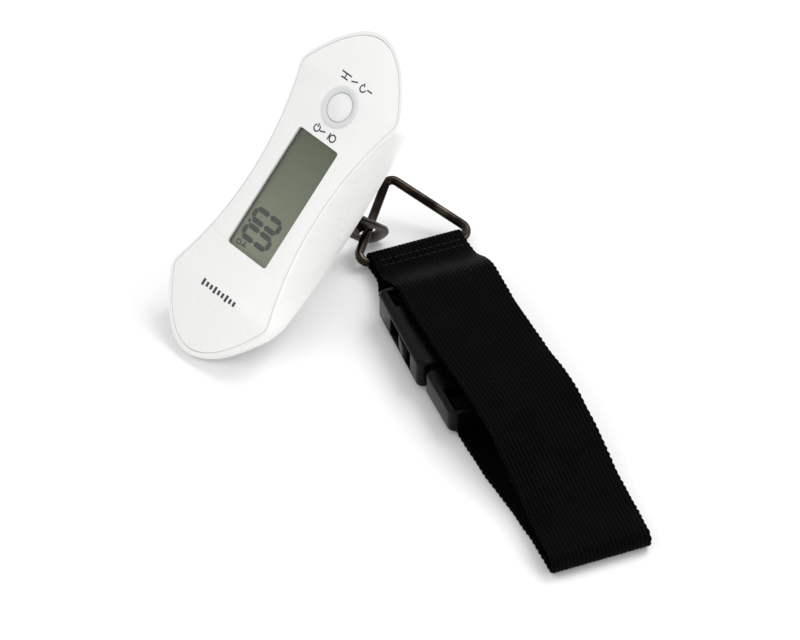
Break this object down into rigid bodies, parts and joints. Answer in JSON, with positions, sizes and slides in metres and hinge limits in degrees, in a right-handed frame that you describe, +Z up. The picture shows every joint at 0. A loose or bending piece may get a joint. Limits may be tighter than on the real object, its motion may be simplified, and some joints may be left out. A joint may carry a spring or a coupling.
{
  "type": "digital luggage scale",
  "caption": "palm-held luggage scale with a display and button on its waisted body, a swivelling hook plate at the back, a triangle ring and a buckled webbing loop",
  "frame": {"origin": "centre of the bounding box on the surface that the scale lies on", "axes": "+Z up from the surface, +X the level direction towards the button end of the body, +Y across the body away from the strap; the body is pitched 44 degrees about Y, propped on its hook"},
  "size_m": [0.1224, 0.212, 0.0974],
  "materials": {
    "housing": "satin white ABS",
    "face_panel": "satin white ABS",
    "display_window": "clear acrylic",
    "display_glass": "olive liquid crystal glass",
    "display_frame": "moulded grey",
    "contact_strips": "layered conductive rubber",
    "circuit_board": "green solder mask",
    "board_parts": "black resin",
    "button_ring": "grey moulded ring",
    "power_button": "pearl grey",
    "switch_body": "black moulded",
    "switch_plunger": "black moulded",
    "coin_cell": "nickel plated",
    "battery_contact_top": "nickel plated spring",
    "battery_contact_side": "nickel plated spring",
    "battery_door": "satin white ABS",
    "load_cell": "milled",
    "strain_gauges": "amber film",
    "gauge_wires": "insulated leads",
    "load_cell_screws": "zinc plated",
    "hook_bush": "acetal",
    "hook_stud": "black nickel",
    "hook_washer": "zinc plated",
    "hook_nut": "zinc plated",
    "hook_plate": "black nickel",
    "triangle_ring": "black nickel plated wire",
    "strap": "black nylon webbing",
    "strap_tab": "black nylon webbing",
    "stitching": "black thread",
    "buckle_socket": "black acetal",
    "buckle_plug": "black acetal",
    "release_arm_left": "black acetal",
    "release_arm_right": "black acetal",
    "case_screws": "zinc plated",
    "board_screws": "zinc plated"
  },
  "bodies": {
    "scale_body": {"housing": "housing", "face_panel": "face_panel", "display_window": "display_window", "display_glass": "display_glass", "display_frame": "display_frame", "contact_strips": "contact_strips", "circuit_board": "circuit_board", "board_parts": "board_parts", "button_ring": "button_ring", "switch_body": "switch_body", "coin_cell": "coin_cell", "battery_contact_top": "battery_contact_top", "battery_contact_side": "battery_contact_side", "load_cell": "load_cell", "strain_gauges": "strain_gauges", "gauge_wires": "gauge_wires", "load_cell_screws": "load_cell_screws", "hook_bush": "hook_bush", "case_screws": "case_screws", "board_screws": "board_screws"},
    "button": {"power_button": "power_button"},
    "plunger": {"switch_plunger": "switch_plunger"},
    "door": {"battery_door": "battery_door"},
    "hook": {"hook_stud": "hook_stud", "hook_washer": "hook_washer", "hook_nut": "hook_nut", "hook_plate": "hook_plate"},
    "ring": {"triangle_ring": "triangle_ring"},
    "strap_loop": {"strap": "strap", "strap_tab": "strap_tab", "stitching": "stitching", "buckle_socket": "buckle_socket", "buckle_plug": "buckle_plug"},
    "arm_left": {"release_arm_left": "release_arm_left"},
    "arm_right": {"release_arm_right": "release_arm_right"}
  },
  "joints": [
    {"name": "button_press", "type": "slide", "parent": "scale_body", "child": "button", "axis": [0.6947, 0, -0.7193], "range_m": [0, 0.0005], "stiffness_N_per_m": 300},
    {"name": "plunger_press", "type": "slide", "parent": "scale_body", "child": "plunger", "axis": [0.6947, 0, -0.7193], "range_m": [0, 0.0005], "stiffness_N_per_m": 5},
    {"name": "door_tilt", "type": "hinge", "parent": "scale_body", "child": "door", "pos_m": [-0.04794, 0.07974, 0.00215], "axis": [0, 1, 0], "range_deg": [0, 60]},
    {"name": "hook_swivel", "type": "hinge", "parent": "scale_body", "child": "hook", "pos_m": [0.0085, 0.07974, 0.02863], "axis": [-0.6947, 0, 0.7193], "continuous": true},
    {"name": "ring_swing", "type": "hinge", "parent": "hook", "child": "ring", "pos_m": [0.0277, 0.07974, 0.00876], "axis": [0.8217, 0.4448, 0.3562], "range_deg": [-12, 40]},
    {"name": "strap_swing", "type": "hinge", "parent": "ring", "child": "strap_loop", "pos_m": [0.03836, 0.06467, 0.0034], "axis": [0.9397, -0.342, 0], "range_deg": [-6, 60]},
    {"name": "arm_left_press", "type": "hinge", "parent": "strap_loop", "child": "arm_left", "pos_m": [-0.00461, 0.00582, 0.0078], "axis": [0, 0, -1], "range_deg": [0, 7], "stiffness_Nm_per_rad": 0.5},
    {"name": "arm_right_press", "type": "hinge", "parent": "strap_loop", "child": "arm_right", "pos_m": [0.02687, -0.00564, 0.0078], "axis": [0, 0, 1], "range_deg": [0, 7], "stiffness_Nm_per_rad": 0.5}
  ],
  "couplings": [
    {"joint": "plunger_press", "follows": "button_press", "ratio": 1},
    {"joint": "arm_right_press", "follows": "arm_left_press", "ratio": 1}
  ]
}
